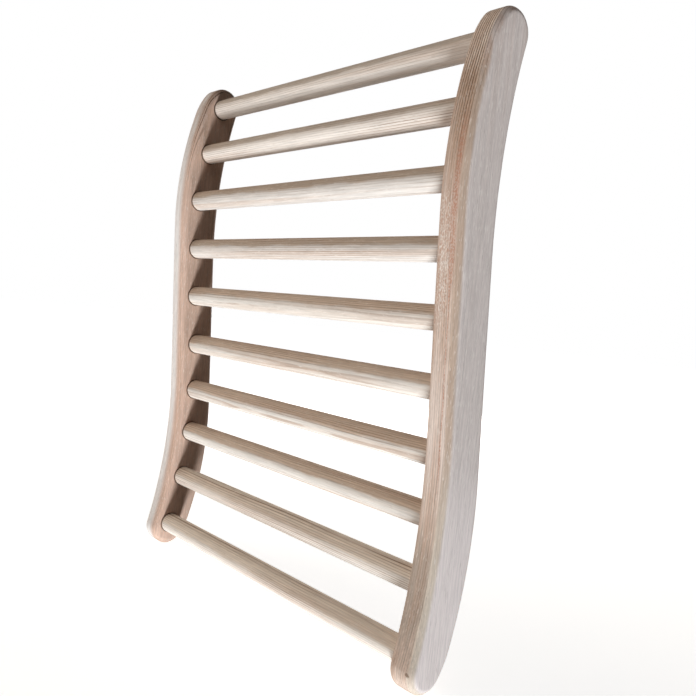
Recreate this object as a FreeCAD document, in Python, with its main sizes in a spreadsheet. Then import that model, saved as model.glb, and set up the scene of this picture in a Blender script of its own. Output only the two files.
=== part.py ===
import FreeCAD, Part
import math
import os
import Sketcher
from FreeCAD import Placement, Rotation, Vector

# A wooden backrest: two S-shaped side rails with round bars glued between them.
# Millimetres. X runs along the bars, Y from the front to the back, Z up the rails.
# The origin is under the middle of the object, level with the rails' lower ends.

DRIVING_SIZES = (
    ("rail_height", 500.0, "rails, from lower to upper end"),
    ("rail_depth", 56.0, "rails, over both bulges of the S"),
    ("rail_thickness", 25.0, "board that the rails are cut from"),
    ("board_width", 39.5, "rail, square across its straight middle"),
    ("end_width", 38.7, "rail, front to back just before its rounded end"),
    ("hollow_radius", 524.0, "inner curve of the S"),
    ("nose_radius", 65.0, "large round corner of a rail end"),
    ("edge_round", 6.0, "round along every edge of a rail"),
    ("inner_width", 352.0, "between the two rails"),
    ("bar_diameter", 20.0, "bars"),
    ("bar_end_chamfer", 1.0, "bevel round a bar's end"),
    ("seat_depth", 15.0, "blind hole that takes a bar"),
    ("seat_clearance", 0.3, "all round between a bar and its hole"),
    ("seat_bevel", 0.6, "bevel round the mouth of the hole"),
    ("seat_floor_gap", 0.5, "glue space between a bar's end and the hole's floor"),
)

# The crest of the front bulge as a share of the rails' height, and the small round corner of
# a rail's end as a share of the width there.
CREST_SHARE = 0.742
TOE_SHARE = 0.452

# Each bar from the top down: its height as a share of the rails' height, and its distance
# from the rails' front edge as a share of the board's width. The steps differ a little.
BAR_PLACE_SHARES = (
    (0.952, 0.45),
    (0.852, 0.49),
    (0.749, 0.43),
    (0.647, 0.43),
    (0.546, 0.43),
    (0.442, 0.48),
    (0.342, 0.47),
    (0.249, 0.45),
    (0.150, 0.43),
    (0.048, 0.39),
)

doc = FreeCAD.newDocument("Backrest")
sheet = doc.addObject("Spreadsheet::Sheet", "Sizes")
for row, (alias, value, note) in enumerate(DRIVING_SIZES, start=1):
    sheet.set(f"A{row}", note)
    sheet.set(f"B{row}", str(value))
    sheet.setAlias(f"B{row}", alias)
doc.recompute()


def size(alias):
    """A driving dimension as a plain number."""
    return float(sheet.get(alias))


def worked_out(formula):
    """The value of a formula in the sheet's sizes."""
    return float(sheet.evalExpression(formula))


# The toe is a rail end's small round corner, the nose its large one. The bulge is the arc that
# touches the front at its crest and leaves the end's width at the height of the toe's middle.
TOE_RADIUS = f"(Sizes.end_width * {TOE_SHARE})"
CREST_HEIGHT = f"(Sizes.rail_height * {CREST_SHARE})"
END_FALL = "(Sizes.rail_depth - Sizes.end_width)"
END_RUN = f"(Sizes.rail_height - {TOE_RADIUS} - {CREST_HEIGHT})"
RADIUS_FORMULAS = {
    "nose": "Sizes.nose_radius",
    "bulge": f"({END_FALL} ^ 2 + {END_RUN} ^ 2) / (2 * {END_FALL})",
    "hollow": "Sizes.hollow_radius",
    "toe": TOE_RADIUS,
}

# A bar's blind hole, and the slope of the bevel round its mouth in degrees. The rounded edge
# of a rail takes at most this share of a hole away.
SEAT_RADIUS = "(Sizes.bar_diameter / 2 + Sizes.seat_clearance)"
MOUTH_TAPER = -45
HOLE_LOSS_SHARE = 0.02


class RailCurve:
    """Circles and joints of a rail's front edge; the back edge is the same, turned half round.

    Points are in the rail's own plane: x towards the back, y up.
    """

    def __init__(self):
        self.middle = Vector(0, size("rail_height") / 2)
        front = -size("rail_depth") / 2
        half_board = size("board_width") / 2
        self.radii = {name: worked_out(formula) for name, formula in RADIUS_FORMULAS.items()}
        nose, bulge, hollow, toe = self.radii.values()

        # The bulge's crest touches the front; the straight middle leans back from it.
        self.bulge = Vector(front + bulge, worked_out(CREST_HEIGHT))
        reach = self.bulge - self.middle
        lean = math.atan2(reach.y, reach.x) - math.acos((bulge - half_board) / reach.Length)
        self.back = Vector(math.cos(lean), math.sin(lean))
        self.up = Vector(-math.sin(lean), math.cos(lean))
        self.bulge_joint = self.bulge - self.back * bulge

        # The toe touches the front and the floor; the hollow curve meets it and the straight middle.
        self.toe = Vector(front + toe, toe)
        offset = self.toe - self.middle
        behind = offset.dot(self.back) + half_board
        run = math.sqrt((hollow + toe) ** 2 - (hollow + behind) ** 2)
        line_foot = self.middle - self.back * half_board
        self.hollow_joint = line_foot + self.up * (offset.dot(self.up) + run)
        self.hollow = self.hollow_joint - self.back * hollow
        self.toe_joint = self.toe + (self.hollow - self.toe).normalize() * toe

        # The nose rounds the bulge over into the toe of the back edge.
        self.far_toe = self.turned(self.toe)
        span = self.far_toe - self.bulge
        to_bulge, to_toe = bulge - nose, nose - toe
        along = (span.Length ** 2 + to_bulge ** 2 - to_toe ** 2) / (2 * span.Length)
        across = math.sqrt(to_bulge ** 2 - along ** 2)
        span.normalize()
        self.nose = self.bulge + span * along + Vector(-span.y, span.x) * across
        self.nose_joint = self.bulge + (self.nose - self.bulge).normalize() * bulge
        self.tip_joint = self.far_toe + (self.far_toe - self.nose).normalize() * toe

    def turned(self, point):
        """The same point of the other edge: half a turn round the rail's middle."""
        return self.middle * 2 - point

    def bar_place(self, height, inset):
        """Middle of a bar at this height and this far behind the front edge."""
        straight = self.bulge_joint + self.back * inset
        if height > straight.y:
            radius = self.radii["bulge"] - inset
            return Vector(self.bulge.x - math.sqrt(radius ** 2 - (height - self.bulge.y) ** 2), height)
        if height > (self.hollow_joint + self.back * inset).y:
            return straight + self.up * ((height - straight.y) / self.up.y)
        radius = self.radii["hollow"] + inset
        return Vector(self.hollow.x + math.sqrt(radius ** 2 - (height - self.hollow.y) ** 2), height)


def plane_of(body, role):
    """One of the body's own origin planes."""
    return next(item for item in body.Origin.OriginFeatures if item.Role == role)


def new_body(name):
    body = doc.addObject("PartDesign::Body", name)
    body.Label = name
    return body


def new_sketch(body, name):
    """A sketch on the body's own upright plane, which the bars stand square to."""
    sketch = body.newObject("Sketcher::SketchObject", name)
    sketch.AttachmentSupport = [(plane_of(body, "YZ_Plane"), "")]
    sketch.MapMode = "FlatFace"
    return sketch


def bind(sketch, constraint, formula):
    """Add a dimension to a sketch and tie it to the sheet."""
    sketch.setExpression(f"Constraints[{sketch.addConstraint(constraint)}]", formula)


def add_arc(sketch, centre, first, last):
    """An arc from first to last, the short way round its centre. Says whether it runs backwards."""
    start, end = first - centre, last - centre
    backwards = start.cross(end).z < 0
    if backwards:
        start, end = end, start
    circle = Part.Circle(centre, Vector(0, 0, 1), start.Length)
    arc = Part.ArcOfCircle(circle, math.atan2(start.y, start.x), math.atan2(end.y, end.x))
    return sketch.addGeometry(arc), backwards


def draw_rail_outline(sketch, curve):
    """The S outline: nose, bulge, straight, hollow and toe down the front, then the same up the back."""
    ends = []
    pieces = {}
    for edge, at in (("front", lambda point: point), ("back", curve.turned)):
        tip, foot = at(curve.tip_joint), at(curve.turned(curve.tip_joint))
        steps = (
            ("nose", at(curve.nose), tip, at(curve.nose_joint)),
            ("bulge", at(curve.bulge), at(curve.nose_joint), at(curve.bulge_joint)),
            ("straight", None, at(curve.bulge_joint), at(curve.hollow_joint)),
            ("hollow", at(curve.hollow), at(curve.hollow_joint), at(curve.toe_joint)),
            ("toe", at(curve.toe), at(curve.toe_joint), foot),
        )
        for name, centre, first, last in steps:
            if centre is None:
                index, backwards = sketch.addGeometry(Part.LineSegment(first, last)), False
            else:
                index, backwards = add_arc(sketch, centre, first, last)
            pieces[edge, name] = index
            ends.append((index, 2, 1) if backwards else (index, 1, 2))

    # Every piece runs smoothly into the next.
    for (index, _, last), (following, first, _) in zip(ends, ends[1:] + ends[:1]):
        sketch.addConstraint(Sketcher.Constraint("Tangent", index, last, following, first))

    # Four radii, the same on both edges.
    for name, formula in RADIUS_FORMULAS.items():
        front, back = pieces["front", name], pieces["back", name]
        bind(sketch, Sketcher.Constraint("Radius", front, curve.radii[name]), formula)
        sketch.addConstraint(Sketcher.Constraint("Equal", front, back))

    # Bulges and toes touch the front and back, the toes touch the lower and upper ends.
    origin, vertical = -1, -2
    for name, centre, height in (("bulge", curve.bulge, CREST_HEIGHT), ("toe", curve.toe, TOE_RADIUS)):
        sideways = f"{RADIUS_FORMULAS[name]} - Sizes.rail_depth / 2"
        turned = curve.turned(centre)
        for edge, place, across, up in (
            ("front", centre, sideways, height),
            ("back", turned, f"-({sideways})", f"Sizes.rail_height - {height}"),
        ):
            index = pieces[edge, name]
            bind(sketch, Sketcher.Constraint("DistanceX", origin, 1, index, 3, place.x), across)
            bind(sketch, Sketcher.Constraint("DistanceY", origin, 1, index, 3, place.y), up)

    # The straight stretches lie half a board's width from the middle.
    middle = sketch.addGeometry(Part.Point(curve.middle), True)
    sketch.addConstraint(Sketcher.Constraint("PointOnObject", middle, 1, vertical))
    bind(sketch, Sketcher.Constraint("DistanceY", origin, 1, middle, 1, curve.middle.y), "Sizes.rail_height / 2")
    for edge in ("front", "back"):
        distance = Sketcher.Constraint("Distance", middle, 1, pieces[edge, "straight"], size("board_width") / 2)
        bind(sketch, distance, "Sizes.board_width / 2")


def draw_rounds(sketch, centres, radius_formula):
    """Equal circles in their places, with their radius tied to the sheet."""
    radius = worked_out(radius_formula)
    for centre in centres:
        index = sketch.addGeometry(Part.Circle(centre, Vector(0, 0, 1), radius))
        bind(sketch, Sketcher.Constraint("Radius", index, radius), radius_formula)
        sketch.addConstraint(Sketcher.Constraint("DistanceX", -1, 1, index, 3, centre.x))
        sketch.addConstraint(Sketcher.Constraint("DistanceY", -1, 1, index, 3, centre.y))


def bore(body, name, centres, radius_formula, depth_formula, reverse):
    """Round pockets from the body's own upright plane into the wood."""
    marks = new_sketch(body, f"{name}_marks")
    draw_rounds(marks, centres, radius_formula)
    pocket = body.newObject("PartDesign::Pocket", name)
    pocket.Profile = marks
    pocket.Reversed = reverse
    pocket.setExpression("Length", depth_formula)
    return pocket


def make_rail(name, side, curve, bar_places):
    """One rail. Its inner face lies on its own upright plane, and side says which way it thickens."""
    rail = new_body(name)
    outline = new_sketch(rail, f"{name}_outline")
    draw_rail_outline(outline, curve)
    board = rail.newObject("PartDesign::Pad", f"{name}_board")
    board.Profile = outline
    board.Reversed = side < 0
    board.setExpression("Length", "Sizes.rail_thickness")
    doc.recompute()

    flat_edges = [
        f"Edge{number}" for number, edge in enumerate(board.Shape.Edges, start=1)
        if edge.BoundBox.XLength < board.Shape.BoundBox.XLength / 2
    ]
    rounding = rail.newObject("PartDesign::Fillet", f"{name}_rounding")
    rounding.Base = (board, flat_edges)
    rounding.setExpression("Radius", "Sizes.edge_round")
    doc.recompute()

    seats = bore(rail, f"{name}_seats", bar_places, SEAT_RADIUS, "Sizes.seat_depth", side > 0)
    mouth_radius = f"{SEAT_RADIUS} + Sizes.seat_bevel"
    mouths = bore(rail, f"{name}_mouths", bar_places, mouth_radius, "Sizes.seat_bevel", side > 0)
    mouths.TaperAngle = MOUTH_TAPER
    rail.setExpression("Placement.Base.x", f"{side} * Sizes.inner_width / 2")
    doc.recompute()

    hole = Part.makeCylinder(worked_out(SEAT_RADIUS), size("seat_depth"))
    drilled = (rounding.Shape.Volume - seats.Shape.Volume) / len(bar_places)
    if not math.isclose(drilled, hole.Volume, rel_tol=HOLE_LOSS_SHARE):
        raise RuntimeError(f"{name}: the seats aren't drilled to their depth")
    if not seats.Shape.Volume > mouths.Shape.Volume:
        raise RuntimeError(f"{name}: the mouths of the seats aren't bevelled")
    return rail


def make_bar(name, place):
    """One bar: a plain rod with bevelled ends, reaching into a seat in each rail."""
    bar = new_body(name)
    section = new_sketch(bar, f"{name}_section")
    draw_rounds(section, [Vector(0, 0)], "Sizes.bar_diameter / 2")
    rod = bar.newObject("PartDesign::Pad", f"{name}_rod")
    rod.Profile = section
    rod.SideType = "Symmetric"
    rod.setExpression("Length", "Sizes.inner_width + 2 * (Sizes.seat_depth - Sizes.seat_floor_gap)")
    doc.recompute()

    rims = [
        f"Edge{number}" for number, edge in enumerate(rod.Shape.Edges, start=1)
        if edge.BoundBox.XLength < rod.Shape.BoundBox.XLength / 2
    ]
    bevel = bar.newObject("PartDesign::Chamfer", f"{name}_bevel")
    bevel.Base = (rod, rims)
    bevel.setExpression("Size", "Sizes.bar_end_chamfer")
    bar.Placement = Placement(Vector(0, place.x, place.y), Rotation())
    doc.recompute()
    return bar


curve = RailCurve()
bar_places = [
    curve.bar_place(height_share * size("rail_height"), inset_share * size("board_width"))
    for height_share, inset_share in BAR_PLACE_SHARES
]
sub_parts = [
    make_rail("left_rail", -1, curve, bar_places),
    make_rail("right_rail", 1, curve, bar_places),
]
for number, place in enumerate(bar_places, start=1):
    sub_parts.append(make_bar(f"bar_{number}", place))
doc.recompute()

for item in doc.Objects:
    if "Invalid" in item.State or "Error" in item.State:
        raise RuntimeError(f"{item.Label} failed: {item.State}")
for part in sub_parts:
    if part.Shape.isNull() or not part.Shape.isValid() or len(part.Shape.Solids) != 1:
        raise RuntimeError(f"{part.Label} has no single sound solid")

os.makedirs("parts", exist_ok=True)
for part in sub_parts:
    part.Shape.exportStep(f"parts/{part.Label}.step")
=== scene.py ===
import bpy
import math
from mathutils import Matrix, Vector


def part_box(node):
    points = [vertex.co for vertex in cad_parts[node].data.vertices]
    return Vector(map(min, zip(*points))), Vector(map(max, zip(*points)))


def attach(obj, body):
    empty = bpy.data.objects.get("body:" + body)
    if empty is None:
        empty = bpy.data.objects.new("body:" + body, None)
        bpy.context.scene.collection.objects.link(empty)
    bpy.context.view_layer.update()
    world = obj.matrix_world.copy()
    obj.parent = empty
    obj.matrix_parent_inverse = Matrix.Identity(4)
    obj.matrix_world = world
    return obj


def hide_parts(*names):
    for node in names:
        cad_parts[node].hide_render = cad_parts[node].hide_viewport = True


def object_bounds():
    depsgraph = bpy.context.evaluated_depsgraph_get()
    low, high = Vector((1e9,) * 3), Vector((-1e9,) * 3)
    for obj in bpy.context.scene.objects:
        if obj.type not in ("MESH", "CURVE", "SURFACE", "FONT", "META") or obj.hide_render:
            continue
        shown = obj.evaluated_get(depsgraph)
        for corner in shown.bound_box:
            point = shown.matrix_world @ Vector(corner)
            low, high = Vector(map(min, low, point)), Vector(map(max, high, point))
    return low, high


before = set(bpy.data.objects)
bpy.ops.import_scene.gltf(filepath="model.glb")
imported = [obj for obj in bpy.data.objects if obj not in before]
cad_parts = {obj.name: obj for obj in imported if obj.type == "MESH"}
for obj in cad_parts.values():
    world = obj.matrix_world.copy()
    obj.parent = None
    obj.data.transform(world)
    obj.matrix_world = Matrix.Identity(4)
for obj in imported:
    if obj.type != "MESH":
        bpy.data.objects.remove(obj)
cad_box = [list(corner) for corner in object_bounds()]

# The two side rails: pale softwood boards sawn to a shallow S, with every edge rounded over and
# sanded by hand, and ten blind holes drilled square into the inner face with a small bevel at
# each mouth. They are mirror images, cut from different places of the plank.
BOARD_WIDTH = 0.0395
END_WIDTH = 0.0387
HOLLOW_RADIUS = 0.524
NOSE_RADIUS = 0.065
EDGE_ROUND = 0.006
ROUND_POINTS = 16
EDGE_POINTS = 36
FACE_LAP = 1.1
CORNER_WEAR = 0.0004
SEAT_DEPTH = 0.015
SEAT_CLEARANCE = 0.0003
SEAT_BEVEL = 0.0006
CREST_SHARE = 0.742
TOE_SHARE = 0.452
ARC_STEP = math.radians(0.4)
OUTLINE_STEP = 0.0012
DRILL_SIDES = 96
DRILL_OVERRUN = 0.002
MERGE_DISTANCE = 0.00001
SOFT_EDGE = math.radians(30)
bar_names = [f"bar_{number}" for number in range(1, 11)]


def turned(point, middle):
    """Half a turn round the rail's middle, which carries the front edge onto the back edge."""
    return middle * 2 - point


def arc(centre, first, last):
    """Points along a circle from first up to last, the short way round."""
    start, end = first - centre, last - centre
    turn = -start.angle_signed(end)
    steps = max(2, math.ceil(abs(turn) / ARC_STEP))
    heading = math.atan2(start.y, start.x)
    headings = [heading + turn * step / steps for step in range(steps)]
    return [centre + start.length * Vector((math.cos(angle), math.sin(angle))) for angle in headings]


def rail_outline(low, high):
    """The S outline, x towards the back and y up: nose, bulge, straight, hollow and toe, twice."""
    height, depth = high.z - low.z, high.y - low.y
    middle = Vector(((low.y + high.y) / 2, (low.z + high.z) / 2))
    toe_radius = END_WIDTH * TOE_SHARE
    fall = depth - END_WIDTH
    run = height * (1 - CREST_SHARE) - toe_radius
    bulge_radius = (fall ** 2 + run ** 2) / (2 * fall)
    bulge = Vector((low.y + bulge_radius, low.z + height * CREST_SHARE))
    toe = Vector((low.y + toe_radius, low.z + toe_radius))

    reach = bulge - middle
    lean = math.atan2(reach.y, reach.x) - math.acos((bulge_radius - BOARD_WIDTH / 2) / reach.length)
    back, up = Vector((math.cos(lean), math.sin(lean))), Vector((-math.sin(lean), math.cos(lean)))
    bulge_joint = bulge - back * bulge_radius

    offset = toe - middle
    behind = offset.dot(back) + BOARD_WIDTH / 2
    rise = math.sqrt((HOLLOW_RADIUS + toe_radius) ** 2 - (HOLLOW_RADIUS + behind) ** 2)
    hollow_joint = middle - back * BOARD_WIDTH / 2 + up * (offset.dot(up) + rise)
    hollow = hollow_joint - back * HOLLOW_RADIUS
    toe_joint = toe + (hollow - toe).normalized() * toe_radius

    far_toe = turned(toe, middle)
    span = far_toe - bulge
    to_bulge, to_toe = bulge_radius - NOSE_RADIUS, NOSE_RADIUS - toe_radius
    along = (span.length ** 2 + to_bulge ** 2 - to_toe ** 2) / (2 * span.length)
    across = math.sqrt(to_bulge ** 2 - along ** 2)
    heading = span.normalized()
    nose = bulge + heading * along + Vector((-heading.y, heading.x)) * across
    nose_joint = bulge + (nose - bulge).normalized() * bulge_radius
    tip_joint = far_toe + (far_toe - nose).normalized() * toe_radius

    front = arc(nose, tip_joint, nose_joint) + arc(bulge, nose_joint, bulge_joint) + [bulge_joint]
    front += arc(hollow, hollow_joint, toe_joint) + arc(toe, toe_joint, turned(tip_joint, middle))
    return front + [turned(point, middle) for point in front]


def marking(name, low, high, seats):
    """The maker's marking-out of a rail: its outline as a closed line, and a loose point for each seat."""
    outline = rail_outline(low, high)
    points = [(point.x, point.y, 0) for point in outline] + [(seat.y, seat.z, 0) for seat in seats]
    count = len(outline)
    mesh = bpy.data.meshes.new(name)
    mesh.from_pydata(points, [(index, (index + 1) % count) for index in range(count)], [])
    piece = bpy.data.objects.new(name, mesh)
    bpy.context.scene.collection.objects.link(piece)
    return piece


def put(tree, kind, inputs=None, **settings):
    """Add a node with these settings. An input that is given a socket is linked to it."""
    node = tree.nodes.new(kind)
    for name, value in settings.items():
        setattr(node, name, value)
    for name, value in (inputs or {}).items():
        if isinstance(value, bpy.types.NodeSocket):
            tree.links.new(value, node.inputs[name])
        else:
            node.inputs[name].default_value = value
    return node


def sum_up(tree, operation, *values, kind="ShaderNodeMath"):
    """One step of arithmetic on sockets or numbers."""
    result = put(tree, kind, dict(enumerate(values)), operation=operation)
    return next(socket for socket in result.outputs if socket.enabled)


def new_tree(name, sizes):
    """A geometry tree with these named sizes after its geometry. Returns the tree and its inputs."""
    tree = bpy.data.node_groups.new(name, "GeometryNodeTree")
    tree.is_modifier = True
    tree.interface.new_socket("Geometry", in_out="OUTPUT", socket_type="NodeSocketGeometry")
    tree.interface.new_socket("Geometry", in_out="INPUT", socket_type="NodeSocketGeometry")
    for label, socket_type in sizes.items():
        tree.interface.new_socket(label, in_out="INPUT", socket_type=socket_type)
    return tree, tree.nodes.new("NodeGroupInput").outputs


def rail_tree():
    """Sweep the rounded edge round the outline, close both faces, wear the corners and drill the seats.

    The rail is made lying down, x towards the back, y up and z from the inner face to the outer.
    """
    tree, given = new_tree("rail_from_marking", {
        "Thickness": "NodeSocketFloat", "Edge Round": "NodeSocketFloat", "Side": "NodeSocketFloat",
        "Inner Face": "NodeSocketFloat", "Seat Radius": "NodeSocketFloat", "Seat Depth": "NodeSocketFloat",
        "Seat Bevel": "NodeSocketFloat", "Step": "NodeSocketFloat", "Wear": "NodeSocketFloat",
        "Seed": "NodeSocketFloat", "Plank Turn": "NodeSocketVector", "Plank Shift": "NodeSocketVector",
        "Wood": "NodeSocketMaterial",
    })
    neighbours = put(tree, "GeometryNodeInputMeshVertexNeighbors").outputs["Vertex Count"]
    drawn = put(tree, "FunctionNodeCompare", {2: neighbours, 3: 0}, data_type="INT",
                operation="GREATER_THAN")
    marks = put(tree, "GeometryNodeSeparateGeometry", {
        "Geometry": given["Geometry"], "Selection": drawn.outputs[0]})
    outline = put(tree, "GeometryNodeMeshToCurve", {"Mesh": marks.outputs["Selection"]})
    even = put(tree, "GeometryNodeResampleCurve", {
        "Curve": outline.outputs[0], "Length": given["Step"]}, mode="LENGTH")
    level = put(tree, "GeometryNodeSetCurveNormal", {"Curve": even.outputs[0]}, mode="Z_UP")

    # The edge's section: from a little way in on the inner face, over both rounds, to as far in on the
    # outer face. The lap onto each face is given in edge rounds.
    line = put(tree, "GeometryNodeCurvePrimitiveLine")
    corners = put(tree, "GeometryNodeResampleCurve", {"Curve": line.outputs[0], "Count": 4}, mode="COUNT")
    index = put(tree, "GeometryNodeInputIndex").outputs[0]
    upper = sum_up(tree, "GREATER_THAN", index, 1.5)
    off_middle = sum_up(tree, "ABSOLUTE", sum_up(tree, "SUBTRACT", index, 1.5))
    inner = sum_up(tree, "GREATER_THAN", off_middle, 1.0)
    inset = sum_up(tree, "MULTIPLY", sum_up(tree, "MULTIPLY", inner, given["Edge Round"]), -FACE_LAP)
    rise = sum_up(tree, "MULTIPLY", upper, sum_up(tree, "MULTIPLY", given["Thickness"], -1.0))
    square = put(tree, "GeometryNodeSetPosition", {
        "Geometry": corners.outputs[0],
        "Position": put(tree, "ShaderNodeCombineXYZ", {"X": inset, "Y": rise}).outputs[0]})
    rounded = put(tree, "GeometryNodeFilletCurve", {
        "Curve": square.outputs[0], "Radius": given["Edge Round"], "Count": ROUND_POINTS,
        "Limit Radius": False}, mode="POLY")
    section = put(tree, "GeometryNodeResampleCurve", {
        "Curve": rounded.outputs[0], "Count": EDGE_POINTS}, mode="COUNT")
    swept = put(tree, "GeometryNodeCurveToMesh", {
        "Curve": level.outputs[0], "Profile Curve": section.outputs[0]})
    rim = put(tree, "GeometryNodeFlipFaces", {"Mesh": swept.outputs[0]})

    # The two open loops of the rim, filled flat as the inner and the outer face.
    bordering = put(tree, "GeometryNodeInputMeshEdgeNeighbors").outputs[0]
    open_edge = put(tree, "FunctionNodeCompare", {2: bordering, 3: 1}, data_type="INT",
                    operation="EQUAL").outputs[0]
    position = put(tree, "GeometryNodeInputPosition").outputs[0]
    height = put(tree, "ShaderNodeSeparateXYZ", {0: position}).outputs[2]
    at_outer = sum_up(tree, "GREATER_THAN", height, sum_up(tree, "MULTIPLY", given["Thickness"], 0.5))
    shell = [rim.outputs[0]]
    for wanted, lift in ((sum_up(tree, "SUBTRACT", 1.0, at_outer), 0.0), (at_outer, given["Thickness"])):
        chosen = sum_up(tree, "MULTIPLY", open_edge, wanted)
        loop = put(tree, "GeometryNodeMeshToCurve", {"Mesh": rim.outputs[0], "Selection": chosen})
        filled = put(tree, "GeometryNodeFillCurve", {"Curve": loop.outputs[0]}, mode="TRIANGLES")
        face = put(tree, "GeometryNodeFlipFaces", {"Mesh": filled.outputs[0], "Selection": lift == 0.0})
        lifted = put(tree, "GeometryNodeTransform", {
            "Geometry": face.outputs[0],
            "Translation": put(tree, "ShaderNodeCombineXYZ", {"Z": lift}).outputs[0]})
        shell.append(lifted.outputs[0])
    joined = put(tree, "GeometryNodeJoinGeometry")
    for part in shell:
        tree.links.new(part, joined.inputs[0])
    blank = put(tree, "GeometryNodeMergeByDistance", {
        "Geometry": joined.outputs[0], "Distance": MERGE_DISTANCE})

    # Sanding takes most off the corners: none on the flat faces or square across the edge. The corner's
    # share is a quarter at most, so it is made four times as large.
    normal = put(tree, "GeometryNodeInputNormal").outputs[0]
    tilt = put(tree, "ShaderNodeSeparateXYZ", {0: normal}).outputs[2]
    squared = sum_up(tree, "MULTIPLY", tilt, tilt)
    corner = sum_up(tree, "MULTIPLY", squared, sum_up(tree, "SUBTRACT", 1.0, squared))
    rough = put(tree, "ShaderNodeTexNoise", {"Scale": 28.0, "Detail": 3.0, "W": given["Seed"]},
                noise_dimensions="4D")
    depth = sum_up(tree, "MULTIPLY", sum_up(tree, "MULTIPLY", corner, rough.outputs[0]), given["Wear"])
    inward = put(tree, "ShaderNodeVectorMath", {0: normal, "Scale": sum_up(tree, "MULTIPLY", depth, -4.0)},
                 operation="SCALE").outputs[0]
    worn = put(tree, "GeometryNodeSetPosition", {"Geometry": blank.outputs[0], "Offset": inward})

    # A drill and a countersink at every seat mark.
    tall = sum_up(tree, "ADD", given["Seat Depth"], DRILL_OVERRUN)
    drill = put(tree, "GeometryNodeMeshCylinder", {
        "Vertices": DRILL_SIDES, "Radius": given["Seat Radius"], "Depth": tall}, fill_type="NGON")
    drop = sum_up(tree, "SUBTRACT", sum_up(tree, "MULTIPLY", tall, 0.5), DRILL_OVERRUN)
    sunk = put(tree, "GeometryNodeTransform", {
        "Geometry": drill.outputs[0],
        "Translation": put(tree, "ShaderNodeCombineXYZ", {"Z": drop}).outputs[0]})
    flare = sum_up(tree, "ADD", given["Seat Bevel"], DRILL_OVERRUN)
    mouth = sum_up(tree, "ADD", given["Seat Radius"], flare)
    cone = put(tree, "GeometryNodeMeshCone", {
        "Vertices": DRILL_SIDES, "Radius Top": given["Seat Radius"], "Radius Bottom": mouth,
        "Depth": flare}, fill_type="NGON")
    countersunk = put(tree, "GeometryNodeTransform", {
        "Geometry": cone.outputs[0], "Translation": (0, 0, -DRILL_OVERRUN)})
    drilled = worn.outputs[0]
    for tool in (sunk, countersunk):
        placed = put(tree, "GeometryNodeInstanceOnPoints", {
            "Points": marks.outputs["Inverted"], "Instance": tool.outputs[0]})
        tools = put(tree, "GeometryNodeRealizeInstances", {0: placed.outputs[0]})
        cut = put(tree, "GeometryNodeMeshBoolean", {"Mesh 1": drilled},
                  operation="DIFFERENCE", solver="EXACT")
        tree.links.new(tools.outputs[0], cut.inputs[1])
        drilled = cut.outputs[0]

    # Stand the rail up on its own side of the object, then note each point's place in the plank.
    side = put(tree, "ShaderNodeCombineXYZ", {"X": 1.0, "Y": 1.0, "Z": given["Side"]}).outputs[0]
    sided = put(tree, "GeometryNodeTransform", {"Geometry": drilled, "Scale": side})
    left = sum_up(tree, "LESS_THAN", given["Side"], 0.0)
    facing = put(tree, "GeometryNodeFlipFaces", {"Mesh": sided.outputs[0], "Selection": left})
    standing = put(tree, "GeometryNodeTransform", {
        "Geometry": facing.outputs[0], "Rotation": (math.pi / 2, 0, math.pi / 2),
        "Translation": put(tree, "ShaderNodeCombineXYZ", {"X": given["Inner Face"]}).outputs[0]})
    finish_tree(tree, given, standing.outputs[0])
    return tree


def finish_tree(tree, given, geometry):
    """Note each point's place in the plank, keep hard edges hard, and give the piece its wood."""
    shifted = sum_up(tree, "ADD", put(tree, "GeometryNodeInputPosition").outputs[0], given["Plank Shift"],
                     kind="ShaderNodeVectorMath")
    in_plank = put(tree, "ShaderNodeVectorRotate", {"Vector": shifted, "Rotation": given["Plank Turn"]},
                   rotation_type="EULER_XYZ")
    noted = put(tree, "GeometryNodeStoreNamedAttribute", {
        "Geometry": geometry, "Name": "plank_place", "Value": in_plank.outputs[0]},
        data_type="FLOAT_VECTOR", domain="POINT")
    bend = put(tree, "GeometryNodeInputMeshEdgeAngle").outputs[0]
    gentle = sum_up(tree, "LESS_THAN", bend, SOFT_EDGE)
    smooth = put(tree, "GeometryNodeSetShadeSmooth", {
        "Geometry": noted.outputs[0], "Shade Smooth": gentle}, domain="EDGE")
    faces = put(tree, "GeometryNodeSetShadeSmooth", {
        "Geometry": smooth.outputs[0], "Shade Smooth": True}, domain="FACE")
    real = put(tree, "GeometryNodeRealizeInstances", {"Geometry": faces.outputs[0]})
    wooden = put(tree, "GeometryNodeSetMaterial", {"Geometry": real.outputs[0], "Material": given["Wood"]})
    put(tree, "NodeGroupOutput", {0: wooden.outputs[0]})


def grown(piece, tree, sizes):
    """Run the tree on a piece with these sizes and return the result as a plain mesh object."""
    modifier = piece.modifiers.new(tree.name, "NODES")
    modifier.node_group = tree
    for item in tree.interface.items_tree:
        if item.in_out == "INPUT" and item.name in sizes:
            modifier[item.identifier] = sizes[item.name]
    bpy.context.view_layer.update()
    evaluated = piece.evaluated_get(bpy.context.evaluated_depsgraph_get())
    mesh = bpy.data.meshes.new_from_object(evaluated)
    name = piece.name
    bpy.data.objects.remove(piece)
    mesh.name = name
    result = bpy.data.objects.new(name, mesh)
    bpy.context.scene.collection.objects.link(result)
    return result


def streaks(tree, place, across, along, detail=2.0, shift=0.0):
    """Noise drawn out along the grain: about this wide across it and this long along it."""
    drawn_out = put(tree, "ShaderNodeMapping", {
        "Vector": place, "Location": (shift, shift, shift), "Scale": (1 / across, 1 / across, 1 / along)})
    return put(tree, "ShaderNodeTexNoise", {
        "Vector": drawn_out.outputs[0], "Scale": 1.0, "Detail": detail, "Roughness": 0.55}).outputs[0]


def ramp(tree, value, start, end, low=0.0, high=1.0):
    """Low up to start, high from end on, and smoothly between."""
    return put(tree, "ShaderNodeMapRange", {
        "Value": value, "From Min": start, "From Max": end, "To Min": low, "To Max": high},
        interpolation_type="SMOOTHSTEP").outputs[0]


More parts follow.
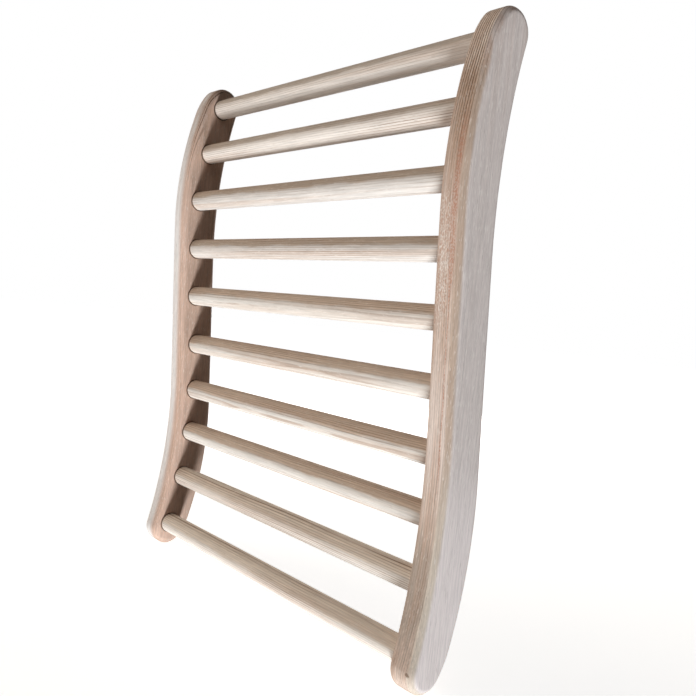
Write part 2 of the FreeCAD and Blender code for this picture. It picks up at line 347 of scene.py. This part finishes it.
def tint(tree, factor, base, top, blend="MIX"):
    """Lay one colour over another by this much."""
    node = put(tree, "ShaderNodeMix", {0: factor, 6: base, 7: top}, data_type="RGBA", blend_type=blend)
    return node.outputs[2]


def off_centre(tree, noise, reach):
    """Noise round nought, with this reach."""
    return sum_up(tree, "MULTIPLY", sum_up(tree, "SUBTRACT", noise, 0.5), reach)


def between(tree, value, start, full, fading, end):
    """One from full to fading, nought before start and after end, and smoothly between."""
    return sum_up(tree, "MULTIPLY", ramp(tree, value, start, full), ramp(tree, value, fading, end, 1.0, 0.0))


def plank_material(name):
    """A material, its tree, and where each point of the piece lay in the plank it was cut from."""
    material = bpy.data.materials.new(name)
    material.use_nodes = True
    tree = material.node_tree
    return material, tree, put(tree, "ShaderNodeAttribute", attribute_name="plank_place").outputs["Vector"]


# How the rings stray: over what width and what length of the wood, and how far.
RING_WANDER = ((0.040, 0.30, 0.0050), (0.010, 0.090, 0.0007), (0.0012, 0.020, 0.00020))

# The shares of a year's growth at which its summer line starts, is full, begins to fade and ends.
SUMMER_SHARES = (0.54, 0.90, 0.94, 1.0)
MOST_BLUSH = 0.40


def grain(tree, place, ring, early, late, warm, pale, contrast):
    """The colour of bare softwood: rings round the pith, warm streaks, pale flecks, pores and fibres.

    Also returns the height of the summer lines and fibres, for the relief.
    """
    across = put(tree, "ShaderNodeSeparateXYZ", {0: place}).outputs
    squares = [sum_up(tree, "MULTIPLY", across[axis], across[axis]) for axis in (0, 1)]
    radius = sum_up(tree, "SQRT", sum_up(tree, "ADD", *squares))
    for width, length, reach in RING_WANDER:
        wander = off_centre(tree, streaks(tree, place, width, length), reach)
        radius = sum_up(tree, "ADD", radius, wander)
    years = sum_up(tree, "DIVIDE", radius, ring)
    season = sum_up(tree, "FRACT", years)
    year = put(tree, "ShaderNodeTexWhiteNoise", {"W": sum_up(tree, "FLOOR", years)},
               noise_dimensions="1D").outputs[0]
    summer = between(tree, season, *SUMMER_SHARES)
    strength = sum_up(tree, "MULTIPLY", sum_up(tree, "MULTIPLY_ADD", year, 0.6, 0.4), contrast)
    line = sum_up(tree, "MULTIPLY", summer, strength)

    fibre = streaks(tree, place, 0.0005, 0.022, detail=3.0)
    bundle = streaks(tree, place, 0.0014, 0.030, shift=37.0)
    blush = ramp(tree, streaks(tree, place, 0.007, 0.35, detail=1.0, shift=7.0), 0.42, 0.66)
    fleck = ramp(tree, streaks(tree, place, 0.0007, 0.006, detail=1.0, shift=11.0), 0.60, 0.72)
    pore = ramp(tree, streaks(tree, place, 0.0006, 0.010, detail=1.0, shift=17.0), 0.66, 0.76)
    blush = sum_up(tree, "MULTIPLY", blush, sum_up(tree, "MINIMUM", contrast, MOST_BLUSH))
    colour = tint(tree, blush, early, warm)
    colour = tint(tree, line, colour, late)
    colour = tint(tree, sum_up(tree, "MULTIPLY", fleck, 0.45), colour, pale)
    colour = tint(tree, sum_up(tree, "MULTIPLY", pore, 0.30), colour, late)
    shade = sum_up(tree, "MULTIPLY", ramp(tree, fibre, 0.2, 0.8, 0.88, 1.10),
                   ramp(tree, bundle, 0.3, 0.7, 0.92, 1.07))
    grey = put(tree, "ShaderNodeCombineColor", {0: shade, 1: shade, 2: shade}).outputs[0]
    colour = tint(tree, 1.0, colour, grey, blend="MULTIPLY")
    relief = sum_up(tree, "ADD", sum_up(tree, "MULTIPLY", line, 0.6), sum_up(tree, "MULTIPLY", fibre, 0.6))
    return colour, sum_up(tree, "SUBTRACT", relief, sum_up(tree, "MULTIPLY", pore, 0.5))


def sanded(tree, colour, relief, along, late):
    """Finish the wood dry and matt: darker where fibres are cut across, and a little rough all over."""
    normal = put(tree, "ShaderNodeTexCoord").outputs["Normal"]
    square_on = put(tree, "ShaderNodeVectorMath", {0: normal, 1: along}, operation="DOT_PRODUCT")
    end = ramp(tree, sum_up(tree, "ABSOLUTE", square_on.outputs["Value"]), 0.45, 0.95, 0.0, 0.40)
    shader = tree.nodes["Principled BSDF"]
    tree.links.new(tint(tree, end, colour, late), shader.inputs["Base Color"])
    tree.links.new(sum_up(tree, "MULTIPLY_ADD", relief, -0.10, 0.74), shader.inputs["Roughness"])
    shader.inputs["Specular IOR Level"].default_value = 0.1
    bump = put(tree, "ShaderNodeBump", {"Height": relief, "Strength": 0.7, "Distance": 0.0001})
    tree.links.new(bump.outputs[0], shader.inputs["Normal"])


# The boards are flat-sawn, so their edges show close straight lines, strongest near the top. The
# plank's outer layer is plainer and mostly paler: it starts at the right board's outer corner, and
# covers most of the left board's front edge. The inner faces are darkened with painted shade.
RAIL_YEAR = 0.0021
RAIL_EARLY = (0.70, 0.55, 0.46, 1)
RAIL_LATE = (0.17, 0.10, 0.06, 1)
RAIL_WARM = (0.54, 0.34, 0.24, 1)
RAIL_PALE = (0.90, 0.82, 0.76, 1)
RAIL_NOSE = (0.92, 0.77, 0.66, 1)
LEFT_EARLY = (0.69, 0.48, 0.38, 1)
LEFT_NOSE = (0.55, 0.40, 0.33, 1)
HIGH_TAN = (0.48, 0.31, 0.21, 1)
LOW_TAN = (0.52, 0.42, 0.35, 1)
LOW_PALE = (0.80, 0.66, 0.58, 1)
OUTER_LAYER = (0.63, 0.48, 0.38, 1)
LIT_LOW_OUTER_LAYER = (0.78, 0.67, 0.56, 1)
LEFT_OUTER_LAYER = (0.84, 0.79, 0.76, 1)
INNER_FACE_SHADE = (0.62, 0.43, 0.335, 1)
OUTER_FACE = (0.75, 0.65, 0.61, 1)
LIT_LOW_OUTER_FACE = (0.88, 0.77, 0.74, 1)
CORNER_SHADE = (0.84, 0.83, 0.83, 1)
RESIN = (0.48, 0.20, 0.12, 1)

# Heights of the zones along the boards: where each starts, is full, begins to fade and ends. The nose
# and the painted shade on the inner faces have only a start, and the painted light at the foot has only an
# end.
HIGH_TAN_ZONE = (0.35, 0.41, 0.44, 0.475)
LOW_PALE_ZONE = (0.12, 0.17, 0.20, 0.27)
LOW_TAN_ZONE = (0.025, 0.055, 0.09, 0.13)
TORN_ZONE = (0.25, 0.29, 0.34, 0.38)
RESIN_ZONE = (0.13, 0.18, 0.39, 0.43)
NOSE_STARTS = (0.435, 0.475)
FOOT_LIGHT_ENDS = (0.10, 0.20)
INNER_SHADE_STARTS = (0.10, 0.22)

# Distances out from the object's middle, through the boards: where each layer starts and is full.
LEFT_OUTER_LAYER_STARTS = (0.180, 0.190)
RIGHT_OUTER_LAYER_STARTS = (0.1952, 0.1964)
TAN_STARTS = (0.180, 0.187)
TORN_LAYERS = (0.176, 0.180, 0.189, 0.192)

# The resin line's distance out, its half width low down and high up, and the place of the nick.
RESIN_LINE = 0.1925
RESIN_HALF_WIDTH = (0.0009, 0.0041)
NICK = (0.1955, -0.0275, 0.0185)

rail_wood, tree, place = plank_material("rail_wood")
here = put(tree, "ShaderNodeTexCoord").outputs
spot = put(tree, "ShaderNodeSeparateXYZ", {0: here["Object"]}).outputs
facing = put(tree, "ShaderNodeSeparateXYZ", {0: here["Normal"]}).outputs
on_right = sum_up(tree, "GREATER_THAN", spot[0], 0.0)
outward = sum_up(tree, "MULTIPLY", facing[0], sum_up(tree, "SIGN", spot[0]))
on_outer_face = ramp(tree, outward, 0.75, 0.98)
on_inner_face = ramp(tree, outward, -0.98, -0.75, 1.0, 0.0)
on_front = ramp(tree, facing[1], -0.75, -0.45, 1.0, 0.0)
on_right_front = sum_up(tree, "MULTIPLY", on_front, on_right)
height = sum_up(tree, "ADD", spot[2], off_centre(tree, streaks(tree, place, 0.004, 0.03, shift=31.0), 0.05))
layer = sum_up(tree, "ADD", sum_up(tree, "ABSOLUTE", spot[0]),
               off_centre(tree, streaks(tree, place, 0.004, 0.05, shift=23.0), 0.003))
# Painted light: near the foot the outer layer and the outer face are given paler colours, as if lit from
# below.
lit_near_foot = ramp(tree, height, *FOOT_LIGHT_ENDS, 1.0, 0.0)
on_nose = ramp(tree, height, *NOSE_STARTS)

early = tint(tree, on_right, LEFT_EARLY, RAIL_EARLY)
tan = sum_up(tree, "MULTIPLY", between(tree, height, *HIGH_TAN_ZONE), on_right_front)
tan = sum_up(tree, "MULTIPLY", tan, ramp(tree, layer, *TAN_STARTS, 0.35, 1.0))
early = tint(tree, sum_up(tree, "MULTIPLY", tan, 0.7), early, HIGH_TAN)
pale = sum_up(tree, "MULTIPLY", between(tree, height, *LOW_PALE_ZONE), on_right_front)
early = tint(tree, pale, early, LOW_PALE)
tan = sum_up(tree, "MULTIPLY", between(tree, height, *LOW_TAN_ZONE), on_right_front)
early = tint(tree, sum_up(tree, "MULTIPLY", tan, 0.9), early, LOW_TAN)
early = tint(tree, on_nose, early, tint(tree, on_right, LEFT_NOSE, RAIL_NOSE))

starts = [sum_up(tree, "MULTIPLY_ADD", on_right, right_start - left_start, left_start)
          for left_start, right_start in zip(LEFT_OUTER_LAYER_STARTS, RIGHT_OUTER_LAYER_STARTS)]
in_outer_layer = ramp(tree, layer, *starts)
outer_layer = tint(tree, lit_near_foot, tint(tree, on_nose, OUTER_LAYER, OUTER_FACE), LIT_LOW_OUTER_LAYER)
outer_layer = tint(tree, on_right, LEFT_OUTER_LAYER, outer_layer)
early = tint(tree, in_outer_layer, early, outer_layer)
# Painted shade: the inner faces are darkened from a little above the foot upwards.
painted_inner_shade = sum_up(tree, "MULTIPLY", on_inner_face, ramp(tree, height, *INNER_SHADE_STARTS))
early = tint(tree, painted_inner_shade, early, INNER_FACE_SHADE)
early = tint(tree, on_outer_face, early, tint(tree, lit_near_foot, OUTER_FACE, LIT_LOW_OUTER_FACE))
# Painted shade: the rounded corners, except at the nose, are darkened to hold down the light they catch.
painted_corner_shade = tint(tree, 1.0, early, CORNER_SHADE, blend="MULTIPLY")
corner = sum_up(tree, "MULTIPLY", between(tree, outward, 0.10, 0.45, 0.80, 1.0),
                sum_up(tree, "SUBTRACT", 1.0, on_nose))
early = tint(tree, corner, early, painted_corner_shade)

# How strongly the summer lines show: most near the top, little on the outer faces and in the outer
# layer, and half as much on the left board and on the inner faces.
contrast = ramp(tree, spot[2], 0.37, 0.47, 0.50, 2.6)
contrast_shares = (
    ramp(tree, outward, 0.75, 0.98, 1.0, 0.14),
    ramp(tree, in_outer_layer, 0.0, 1.0, 1.0, 0.30),
    sum_up(tree, "MULTIPLY_ADD", on_right, 0.5, 0.5),
    ramp(tree, outward, -0.98, -0.75, 0.5, 1.0),
)
for share in contrast_shares:
    contrast = sum_up(tree, "MULTIPLY", contrast, share)
colour, relief = grain(tree, place, RAIL_YEAR, early, RAIL_LATE, RAIL_WARM, RAIL_PALE, contrast)

# Short pale flecks stand out on the broad outer faces.
flecks = ramp(tree, streaks(tree, place, 0.0011, 0.006, detail=1.0, shift=61.0), 0.56, 0.70, 0.0, 0.55)
colour = tint(tree, sum_up(tree, "MULTIPLY", flecks, on_outer_face), colour, RAIL_PALE)

# Where the plane tore the fibres, halfway up the right board's front edge, the wood is speckled.
torn = sum_up(tree, "MULTIPLY", between(tree, height, *TORN_ZONE), on_right_front)
torn = sum_up(tree, "MULTIPLY", torn, between(tree, layer, *TORN_LAYERS))
speckle = streaks(tree, place, 0.0008, 0.0018, detail=1.0, shift=41.0)
brown = sum_up(tree, "MULTIPLY", torn, ramp(tree, speckle, 0.52, 0.62, 0.0, 0.40))
colour = tint(tree, brown, colour, RESIN)
white = sum_up(tree, "MULTIPLY", torn, ramp(tree, speckle, 0.36, 0.46, 0.60, 0.0))
colour = tint(tree, white, colour, RAIL_PALE)

# One line of resin runs down the right board's front edge, wide and broken up high.
off_line = sum_up(tree, "ABSOLUTE", sum_up(tree, "SUBTRACT", layer, RESIN_LINE))
half_width = ramp(tree, spot[2], 0.28, 0.33, *RESIN_HALF_WIDTH)
on_line = ramp(tree, sum_up(tree, "DIVIDE", off_line, half_width), 0.3, 1.0, 1.0, 0.0)
broken = ramp(tree, streaks(tree, place, 0.0008, 0.0016, detail=1.0, shift=29.0), 0.38, 0.62, 0.18, 0.72)
resin = sum_up(tree, "MULTIPLY", sum_up(tree, "MULTIPLY", on_line, between(tree, spot[2], *RESIN_ZONE)),
               sum_up(tree, "MULTIPLY", broken, on_right_front))
colour = tint(tree, resin, colour, RESIN)

# A small nick in the right board's front edge, near its foot.
at_nick = put(tree, "ShaderNodeVectorMath", {0: here["Object"], 1: NICK}, operation="DISTANCE")
ragged = off_centre(tree, streaks(tree, place, 0.0009, 0.0014, shift=53.0), 0.0026)
nick = ramp(tree, sum_up(tree, "ADD", at_nick.outputs["Value"], ragged), 0.0012, 0.0021, 1.0, 0.0)
colour = tint(tree, sum_up(tree, "MULTIPLY", nick, 0.75), colour, RAIL_LATE)
relief = sum_up(tree, "SUBTRACT", relief, nick)
sanded(tree, colour, relief, (0, 0, 1), RAIL_LATE)

seats = [sum(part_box(name), Vector()) / 2 for name in bar_names]
bar_low, bar_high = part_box("bar_1")
rail_steps = {
    "Edge Round": EDGE_ROUND, "Step": OUTLINE_STEP, "Seat Depth": SEAT_DEPTH, "Seat Bevel": SEAT_BEVEL,
    "Seat Radius": (bar_high.z - bar_low.z) / 2 + SEAT_CLEARANCE, "Wear": CORNER_WEAR, "Wood": rail_wood,
}

# How far each board is shifted to its own place in the plank: across the rings, along them, and
# lengthwise.
LEFT_PLANK_PLACE = (0.30, -0.012, 0.3)
RIGHT_PLANK_PLACE = (-0.10, 0.008, 0.0)
board_of = rail_tree()
for name, side, shift in (("left_rail", -1.0, LEFT_PLANK_PLACE), ("right_rail", 1.0, RIGHT_PLANK_PLACE)):
    low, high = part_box(name)
    board = grown(marking(f"{name}_board", low, high, seats), board_of, rail_steps | {
        "Thickness": high.x - low.x, "Side": side, "Inner Face": high.x if side < 0 else low.x,
        "Seed": side, "Plank Shift": shift})
    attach(board, "root")
    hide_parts(name)


# The ten bars: rods turned from the same softwood, with a small bevel at each end, glued into the
# rails' seats. Each bar's upper side is painted darker, as painted shade, and its under side paler, as
# painted light.
BAR_BEVEL = 0.001
BAR_STEPS = 160
BAR_SIDES = 64
BAR_UNEVENNESS = 0.0001


def rod(name, low, high):
    """A bar's middle line from end to end, with a point at each step and where the bevels stop."""
    centre = (low + high) / 2
    length = high.x - low.x
    inner = length - 2 * BAR_BEVEL
    stations = [0.0] + [BAR_BEVEL + inner * step / BAR_STEPS for step in range(BAR_STEPS + 1)] + [length]
    mesh = bpy.data.meshes.new(name)
    mesh.from_pydata([(low.x + station, centre.y, centre.z) for station in stations],
                     [(index, index + 1) for index in range(len(stations) - 1)], [])
    piece = bpy.data.objects.new(name, mesh)
    bpy.context.scene.collection.objects.link(piece)
    return piece


def bar_tree():
    """Put a round section along the middle line, narrow it over the bevels and sand it a little uneven."""
    tree, given = new_tree("bar_from_line", {
        "Radius": "NodeSocketFloat", "Bevel": "NodeSocketFloat", "Unevenness": "NodeSocketFloat",
        "Seed": "NodeSocketFloat", "Plank Turn": "NodeSocketVector", "Plank Shift": "NodeSocketVector",
        "Wood": "NodeSocketMaterial",
    })
    line = put(tree, "GeometryNodeMeshToCurve", {"Mesh": given["Geometry"]})
    level = put(tree, "GeometryNodeSetCurveNormal", {"Curve": line.outputs[0]}, mode="Z_UP")
    end = put(tree, "GeometryNodeCurveEndpointSelection")
    lost = sum_up(tree, "MULTIPLY", end.outputs[0], given["Bevel"])
    reach = sum_up(tree, "SUBTRACT", given["Radius"], lost)
    section = put(tree, "GeometryNodeCurvePrimitiveCircle", {"Resolution": BAR_SIDES, "Radius": 1.0})
    round_bar = put(tree, "GeometryNodeCurveToMesh", {
        "Curve": level.outputs[0], "Profile Curve": section.outputs[0], "Scale": reach, "Fill Caps": True})
    uneven = put(tree, "ShaderNodeTexNoise", {"Scale": 35.0, "Detail": 2.0, "W": given["Seed"]},
                 noise_dimensions="4D")
    depth = sum_up(tree, "MULTIPLY", sum_up(tree, "MULTIPLY", uneven.outputs[0], given["Unevenness"]), -1.0)
    inward = put(tree, "ShaderNodeVectorMath", {
        0: put(tree, "GeometryNodeInputNormal").outputs[0], "Scale": depth}, operation="SCALE").outputs[0]
    sanded_bar = put(tree, "GeometryNodeSetPosition", {"Geometry": round_bar.outputs[0], "Offset": inward})
    finish_tree(tree, given, sanded_bar.outputs[0])
    return tree


BAR_YEAR = 0.0018
BAR_LATE = (0.32, 0.18, 0.11, 1)
BAR_WARM = (0.57, 0.41, 0.31, 1)
BAR_PALE = (0.80, 0.74, 0.69, 1)
GLUE_AND_SHADE_LINE = (0.16, 0.09, 0.05, 1)

# From each height up, the bars' colours: the darker for the painted shade on their upper side, the paler for
# the painted light on their under side.
BAR_SHADE_AND_LIGHT_TONES = (
    (0.00, (0.84, 0.73, 0.62, 1), (0.83, 0.76, 0.69, 1)),
    (0.10, (0.68, 0.54, 0.43, 1), (0.74, 0.68, 0.62, 1)),
    (0.30, (0.57, 0.46, 0.37, 1), (0.70, 0.64, 0.59, 1)),
    (0.40, (0.63, 0.54, 0.46, 1), (0.84, 0.76, 0.69, 1)),
)

# The border between the painted shade above and the painted light below: how much lower it lies at
# the back, how far it waves, and how soft it is.
SHADE_BORDER_LEAN = 0.2
SHADE_BORDER_WAVE = 0.9
SHADE_BORDER_SOFTNESS = 0.14

# On which side of each bar the tree's heart lay, in degrees below straight ahead, so that some bars
# show close straight lines and others broad wavy ones, and how far off it lay.
HEART_BEARING = (75, 100, 60, 95, 28, 24, 32, 10, 85, 70)
HEART_DISTANCE = 0.07

# How far apart along the wood the bars were cut.
CUT_SPACING = 0.4

# How far the dark line of glue, with painted shade in the crease, reaches out of a seat, and how far it is
# at its darkest.
GLUE_AND_SHADE_REACH = 0.0018
GLUE_AND_SHADE_CORE = 0.0006

bar_wood, tree, place = plank_material("bar_wood")
figure = ramp(tree, streaks(tree, place, 0.03, 0.16, shift=3.0), 0.38, 0.60, 0.30, 1.0)
here = put(tree, "ShaderNodeTexCoord").outputs
spot = put(tree, "ShaderNodeSeparateXYZ", {0: here["Object"]}).outputs
facing = put(tree, "ShaderNodeSeparateXYZ", {0: here["Normal"]}).outputs
# Painted shade and painted light: each point takes the paler colour where it faces down and the darker where
# it faces up.
painted_shade_side, painted_light_side = BAR_SHADE_AND_LIGHT_TONES[0][1:]
for from_height, darker, paler in BAR_SHADE_AND_LIGHT_TONES[1:]:
    higher = sum_up(tree, "GREATER_THAN", spot[2], from_height)
    painted_shade_side = tint(tree, higher, painted_shade_side, darker)
    painted_light_side = tint(tree, higher, painted_light_side, paler)
wave = off_centre(tree, streaks(tree, place, 0.006, 0.035, shift=13.0), SHADE_BORDER_WAVE)
# How far each point faces up, which sets its painted shade or painted light.
toward_painted_shade = sum_up(tree, "ADD", sum_up(tree, "MULTIPLY_ADD", facing[1], SHADE_BORDER_LEAN, facing[2]), wave)
early = tint(tree, ramp(tree, toward_painted_shade, -SHADE_BORDER_SOFTNESS, SHADE_BORDER_SOFTNESS), painted_light_side, painted_shade_side)
colour, relief = grain(tree, place, BAR_YEAR, early, BAR_LATE, BAR_WARM, BAR_PALE, figure)
# A dark glue line and painted shade in the crease where each bar goes into a rail.
inner_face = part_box("right_rail")[0].x
glue_and_shade = ramp(tree, sum_up(tree, "ABSOLUTE", spot[0]), inner_face - GLUE_AND_SHADE_REACH, inner_face - GLUE_AND_SHADE_CORE,
             0.0, 0.85)
colour = tint(tree, glue_and_shade, colour, GLUE_AND_SHADE_LINE)
sanded(tree, colour, relief, (1, 0, 0), BAR_LATE)

rod_of = bar_tree()
for number, name in enumerate(bar_names):
    low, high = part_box(name)
    middle = (low + high) / 2
    bearing = math.radians(HEART_BEARING[number])
    in_front = math.cos(bearing) * HEART_DISTANCE
    beneath = math.sin(bearing) * HEART_DISTANCE
    plank_place = (CUT_SPACING * number, in_front - middle.y, beneath - middle.z)
    bar = grown(rod(f"{name}_rod", low, high), rod_of, {
        "Radius": (high.z - low.z) / 2, "Bevel": BAR_BEVEL, "Unevenness": BAR_UNEVENNESS,
        "Seed": float(number), "Plank Turn": (0.0, math.pi / 2, 0.0), "Plank Shift": plank_place,
        "Wood": bar_wood})
    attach(bar, "root")
    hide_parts(name)


# The studio: a pale floor that lets light through from beneath, as a light table does, on a white
# background. Most of the light comes up through it from the front, and the rest is soft.
FLOOR_SIZE = 12.0
FLOOR_DARK = (0.2, 0.2, 0.2, 1)
FLOOR_PALE = (0.8, 0.8, 0.8, 1)
WHITE = (1, 1, 1, 1)
AMBIENT = 0.015
AMBIENT_TINT = (1.0, 0.88, 0.72, 1)

# The floor's own glow, as the eye sees it: this share close to the object, and all of it further off.
CLOSE = 0.3
FURTHER_OFF = 1.5
CLOSE_GLOW = 0.74


def plane(name, size):
    """A square of this half width, level at the object's feet."""
    mesh = bpy.data.meshes.new(name)
    corners = [(-size, -size, 0), (size, -size, 0), (size, size, 0), (-size, size, 0)]
    mesh.from_pydata(corners, [], [(0, 1, 2, 3)])
    piece = bpy.data.objects.new(name, mesh)
    bpy.context.scene.collection.objects.link(piece)
    return piece


def seen_by_eye(tree):
    """One where the camera looks, straight or by way of a gloss or a glass, and nought for other light."""
    ray = put(tree, "ShaderNodeLightPath").outputs
    return sum_up(tree, "MAXIMUM", ray["Is Camera Ray"],
                  sum_up(tree, "MAXIMUM", ray["Is Glossy Ray"], ray["Is Transmission Ray"]))


floor = plane("floor", FLOOR_SIZE)
floor.visible_shadow = False
floor_paint = bpy.data.materials.new("pale_floor")
floor_paint.use_nodes = True
tree = floor_paint.node_tree
paint = tree.nodes["Principled BSDF"]
paint.inputs["Roughness"].default_value = 0.9
seen = seen_by_eye(tree)
tree.links.new(tint(tree, seen, FLOOR_DARK, FLOOR_PALE), paint.inputs["Base Color"])
spot = put(tree, "ShaderNodeTexCoord").outputs["Object"]
away = put(tree, "ShaderNodeVectorMath", {0: spot}, operation="LENGTH").outputs["Value"]
paleness = ramp(tree, away, CLOSE, FURTHER_OFF, CLOSE_GLOW, 1.0)
glow = put(tree, "ShaderNodeEmission", {"Strength": sum_up(tree, "MULTIPLY", seen, paleness)})
both = put(tree, "ShaderNodeAddShader", {0: paint.outputs[0], 1: glow.outputs[0]})
tree.links.new(both.outputs[0], tree.nodes["Material Output"].inputs["Surface"])
floor.data.materials.append(floor_paint)

world = bpy.data.worlds.new("studio")
bpy.context.scene.world = world
world.use_nodes = True
tree = world.node_tree
seen = seen_by_eye(tree)
sky = tree.nodes["Background"]
tree.links.new(tint(tree, seen, AMBIENT_TINT, WHITE), sky.inputs["Color"])
tree.links.new(sum_up(tree, "MULTIPLY_ADD", seen, 1.0 - AMBIENT, AMBIENT), sky.inputs["Strength"])

centre = (Vector(cad_box[0]) + Vector(cad_box[1])) / 2


def lamp(name, place, size, level, colour):
    """A soft square lamp that faces the object's middle and shows a white sheet there at this level."""
    data = bpy.data.lights.new(name, "AREA")
    way = centre - Vector(place)
    data.size = size
    data.energy = level * (math.pi * way.length) ** 2
    data.color = colour
    piece = bpy.data.objects.new(name, data)
    bpy.context.scene.collection.objects.link(piece)
    piece.location = place
    piece.rotation_euler = way.to_track_quat("-Z", "Y").to_euler()
    piece.visible_camera = False


lamp("lamp_beneath", (1.41, -0.74, -2.29), 0.55, 1.32, (0.90, 0.96, 1.0))
lamp("front_lamp", (-0.5, -2.1, -0.5), 0.8, 0.38, (1.0, 0.96, 0.92))
lamp("top_lamp", (-0.9, -0.8, 1.9), 1.2, 0.25, (1.0, 0.88, 0.74))
lamp("left_lamp", (-1.7, -0.6, 0.35), 0.9, 0.22, (1.0, 0.97, 0.94))
lamp("side_lamp", (0.50, -0.12, 0.58), 0.10, 0.05, (1.0, 0.97, 0.95))
lamp("back_lamp", (-0.9, 1.4, 0.5), 1.0, 0.42, (1.0, 0.96, 0.91))

# The camera stands where the photograph was taken: level with the middle of the object, close
# to its right-hand front corner, and held slightly askew.
SENSOR_WIDTH = 36.0
LENS = 38.06
CAMERA_PLACE = (0.52755, -0.42275, 0.26595)
CAMERA_TURN = (87.671, -5.887, 47.551)
view = bpy.data.cameras.new("photo_view")
view.sensor_width = SENSOR_WIDTH
view.lens = LENS
camera = bpy.data.objects.new("photo_view", view)
bpy.context.scene.collection.objects.link(camera)
camera.location = CAMERA_PLACE
camera.rotation_euler = [math.radians(angle) for angle in CAMERA_TURN]
bpy.context.scene.camera = camera
bpy.context.scene.view_settings.view_transform = "Standard"
